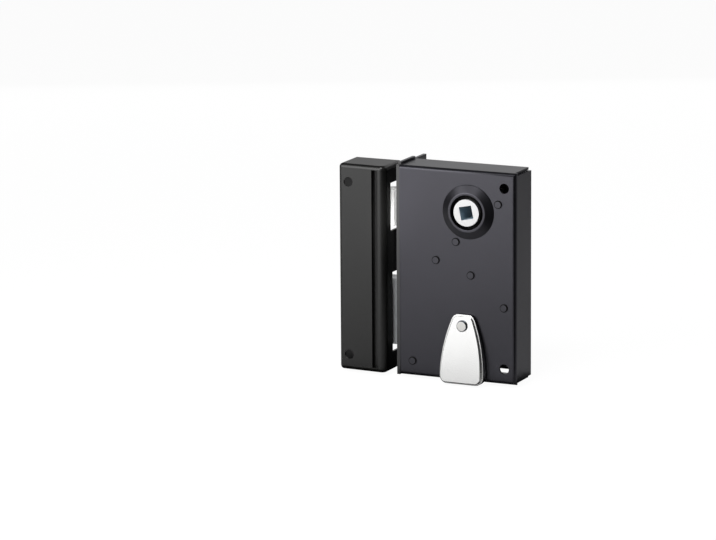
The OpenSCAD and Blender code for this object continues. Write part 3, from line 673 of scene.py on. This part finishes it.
def white_table(name, seen_white, mirrored_white):
    """Pale matt table top that goes to white for the camera, and partly in reflections."""
    material, tree = new_material(name)
    path = add(tree, "ShaderNodeLightPath")
    mirrored = add(tree, "ShaderNodeMath", {"operation": "MAXIMUM"})
    tree.links.new(path.outputs["Is Glossy Ray"], mirrored.inputs[0])
    tree.links.new(path.outputs["Is Transmission Ray"], mirrored.inputs[1])
    part = add(tree, "ShaderNodeMath", {"operation": "MULTIPLY"})
    tree.links.new(mirrored.outputs[0], part.inputs[0])
    part.inputs[1].default_value = mirrored_white
    share = add(tree, "ShaderNodeMath", {"operation": "MULTIPLY_ADD"})
    tree.links.new(path.outputs["Is Camera Ray"], share.inputs[0])
    share.inputs[1].default_value = seen_white
    tree.links.new(part.outputs[0], share.inputs[2])
    matt = add(tree, "ShaderNodeBsdfDiffuse", {"Color": linear("#c8c8c8")})
    white = add(tree, "ShaderNodeEmission", {"Color": linear("#ffffff"), "Strength": 1.13})
    mix = add(tree, "ShaderNodeMixShader", links={"Fac": share.outputs[0]})
    tree.links.new(matt.outputs[0], mix.inputs[1])
    tree.links.new(white.outputs[0], mix.inputs[2])
    add(tree, "ShaderNodeOutputMaterial", links={"Surface": mix.outputs[0]})
    return material


def black_velvet(name):
    """Velvet on the cards: takes the light and gives none back."""
    material, tree = new_material(name)
    finish_surface(tree, add(tree, "ShaderNodeBsdfDiffuse", {"Color": linear("#0a0a0a")}))
    return material


deselect()
bpy.ops.mesh.primitive_circle_add(vertices=96, radius=FLOOR_R, fill_type="NGON", location=(0, 0, FLOOR_Z))
floor = bpy.context.object
floor.name = "floor"
floor.data.materials.append(white_table("matt_white_table", seen_white=0.85, mirrored_white=0.07))

# Black cards on the table, seen only in reflections: one at the right keeps the folds dark, and one under
# the lock is a painted contact shadow that gives its lower edges a dark line
velvet = black_velvet("black_velvet")
for name, middle, size in (("black_card_right", (0.68, -0.615), (1.24, 1.17)),
                           ("contact_shadow_card", (-0.015, -0.011), (0.13, 0.05))):
    deselect()
    bpy.ops.mesh.primitive_plane_add(size=1.0, location=(*middle, FLOOR_Z + CARD_LIFT))
    card = bpy.context.object
    card.name = name
    card.scale = (*size, 1.0)
    settle(card)
    card.data.materials.append(velvet)
    card.visible_camera = False
    card.visible_diffuse = False
    card.visible_transmission = False
    card.visible_shadow = False

# Room: white for the camera, dim for the light
world = bpy.data.worlds.new("studio")
bpy.context.scene.world = world
world.use_nodes = True
sky = world.node_tree
sky.nodes.clear()
path = add(sky, "ShaderNodeLightPath")
white = add(sky, "ShaderNodeBackground", {"Color": linear("#ffffff"), "Strength": 1.0})
room = add(sky, "ShaderNodeBackground", {"Color": linear("#bcbcc0"), "Strength": 0.08})
both = add(sky, "ShaderNodeMixShader", links={"Fac": path.outputs["Is Camera Ray"]})
sky.links.new(room.outputs[0], both.inputs[1])
sky.links.new(white.outputs[0], both.inputs[2])
add(sky, "ShaderNodeOutputWorld", links={"Surface": both.outputs[0]})

# The low wall shows in the flap, the high one in the upper front, the back wall in the top. The front lamp
# is the main light, and the one at the back right lights the table that the right side mirrors.
softbox("left_wall_low", (-0.235, -0.42, 0.008), (0, 0, 0.008), width=0.42, height=0.146, radiance=1.5)
softbox("left_wall_high", (-0.235, -0.42, 0.241), (0, 0, 0.18), width=0.42, height=0.32, radiance=4.0)
softbox("front_lamp", (0.054, -0.617, 0.885), (0, 0, 0), width=0.3, height=0.3, radiance=16)
softbox("back_wall", (-0.45, 0.9, 0.3), (0, 0, 0.05), width=1.5, height=0.7, radiance=0.6)
softbox("right_back_lamp", (0.3, 0.45, 0.45), (0.16, 0.28, FLOOR_Z), width=0.35, height=0.35, radiance=1.5)

# Narrow beam from high in front, into the gap between case and keep, for the latch
beam = bpy.data.lights.new("gap_spot", "SPOT")
beam.energy = 44
beam.shadow_soft_size = 0.01
beam.spot_size = math.radians(3.0)
beam.spot_blend = 0.8
spot = bpy.data.objects.new("gap_spot", beam)
bpy.context.scene.collection.objects.link(spot)
spot.location = at(214, -330, 580)
aim(spot, at(-4, 6, 93))

# Camera fitted to the photo: azimuth 25 degrees to the right, 12 degrees above
AZIMUTH = math.radians(25.006)
ELEVATION = math.radians(12.029)
ROLL = math.radians(-0.382)
DISTANCE = 2.6
ACROSS = -0.069415
UPWARD = -0.000981
FOCAL_PX = 4270.095
IMAGE_W = 716
SENSOR_W = 36

back = Vector((math.sin(AZIMUTH) * math.cos(ELEVATION), -math.cos(AZIMUTH) * math.cos(ELEVATION),
               math.sin(ELEVATION)))
right = Vector((math.cos(AZIMUTH), math.sin(AZIMUTH), 0))
up = back.cross(right)
tilted_right = math.cos(ROLL) * right + math.sin(ROLL) * up
tilted_up = -math.sin(ROLL) * right + math.cos(ROLL) * up
lens = bpy.data.cameras.new("camera")
lens.sensor_width = SENSOR_W
lens.lens = FOCAL_PX / IMAGE_W * SENSOR_W
camera = bpy.data.objects.new("camera", lens)
bpy.context.scene.collection.objects.link(camera)
camera.rotation_mode = "QUATERNION"
camera.rotation_quaternion = Matrix((tilted_right, tilted_up, back)).transposed().to_quaternion()
camera.location = back * DISTANCE + right * ACROSS + up * UPWARD
bpy.context.scene.camera = camera
bpy.context.scene.view_settings.view_transform = "Standard"
